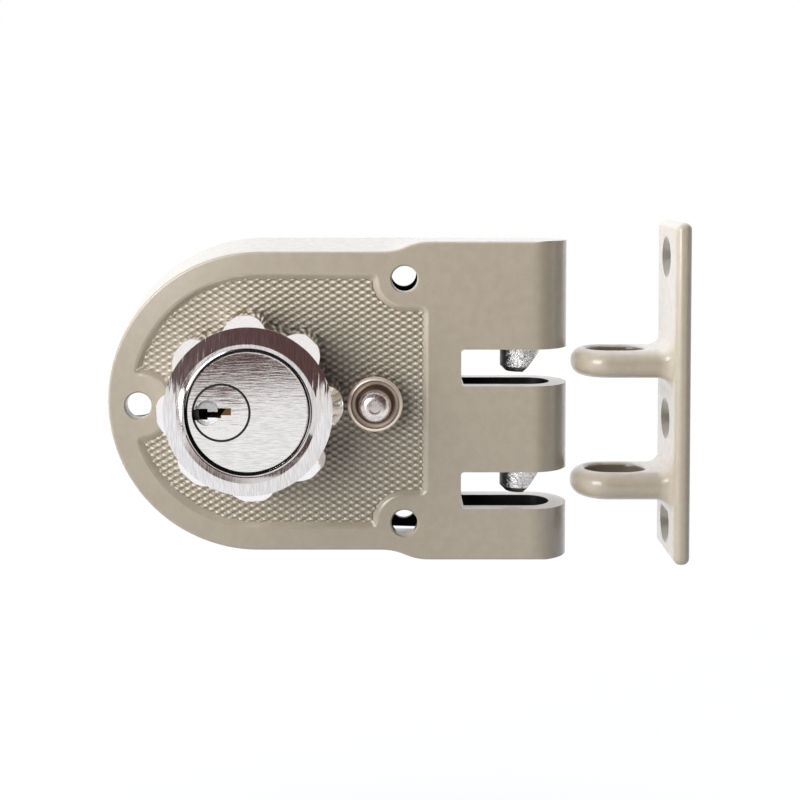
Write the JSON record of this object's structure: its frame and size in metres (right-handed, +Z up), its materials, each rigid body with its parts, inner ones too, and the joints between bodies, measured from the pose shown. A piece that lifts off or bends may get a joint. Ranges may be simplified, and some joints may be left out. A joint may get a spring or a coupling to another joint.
{
  "type": "interlocking rim lock",
  "caption": "Surface-mounted rim lock with a round-ended case, lobed cylinder collar, key cylinder, push button and bevelled drop bolts, shown beside its ringed strike.",
  "frame": {"origin": "on the door's face, level with the centre of the case's round end", "axes": "+X towards the strike, +Y into the door, +Z up"},
  "size_m": [0.1639, 0.041, 0.0949],
  "materials": {
    "champagne_paint": "satin",
    "polished_chrome": "polished",
    "brushed_nickel": "brushed",
    "zinc_steel": "satin",
    "zinc_die_cast": "satin",
    "brass_inner": "satin",
    "spring_steel": "satin",
    "black_steel": "dark satin"
  },
  "bodies": {
    "case_body": {"case": "champagne_paint", "back_plate": "black_steel", "back_plate_screws": "zinc_steel", "lobed_collar": "polished_chrome", "collar_ring": "brushed_nickel", "cylinder_shell": "brushed_nickel", "driver_pins": "brass_inner", "driver_springs": "spring_steel", "chamber_plugs": "brass_inner", "cylinder_clamp": "zinc_steel", "cylinder_screws": "zinc_steel", "hub_bush": "brass_inner", "guide_posts": "spring_steel", "bolt_springs": "spring_steel", "button_ferrule": "brushed_nickel", "button_spring": "spring_steel", "strike": "champagne_paint"},
    "plug": {"cylinder_plug": "brushed_nickel", "key_pins": "brass_inner", "plug_clip": "spring_steel", "tailpiece": "zinc_steel"},
    "hub": {"hub_pinion": "zinc_steel"},
    "bolts": {"bolt_carrier": "zinc_steel", "upper_bolt": "zinc_steel", "lower_bolt": "zinc_steel", "bolt_rivets": "spring_steel"},
    "button": {"hold_button": "brushed_nickel", "button_clip": "spring_steel"}
  },
  "joints": [
    {"name": "key_turn", "type": "hinge", "parent": "case_body", "child": "plug", "pos_m": [-0.008, 0, 0], "axis": [0, -1, 0], "range_deg": [0, 63.1]},
    {"name": "hub_turn", "type": "hinge", "parent": "case_body", "child": "hub", "pos_m": [-0.008, 0, 0], "axis": [0, -1, 0], "range_deg": [0, 63.1]},
    {"name": "bolt_slide", "type": "slide", "parent": "case_body", "child": "bolts", "axis": [0, 0, 1], "range_m": [0, 0.0077], "stiffness_N_per_m": 2400, "springref_m": -0.002, "deforming": ["bolt_springs"]},
    {"name": "button_press", "type": "slide", "parent": "case_body", "child": "button", "axis": [0, 1, 0], "range_m": [0, 0.0025], "stiffness_N_per_m": 600, "springref_m": -0.001, "deforming": ["button_spring"]}
  ],
  "couplings": [
    {"joint": "key_turn", "follows": "bolt_slide", "rad_per_m": 142.86},
    {"joint": "hub_turn", "follows": "bolt_slide", "rad_per_m": 142.86}
  ]
}
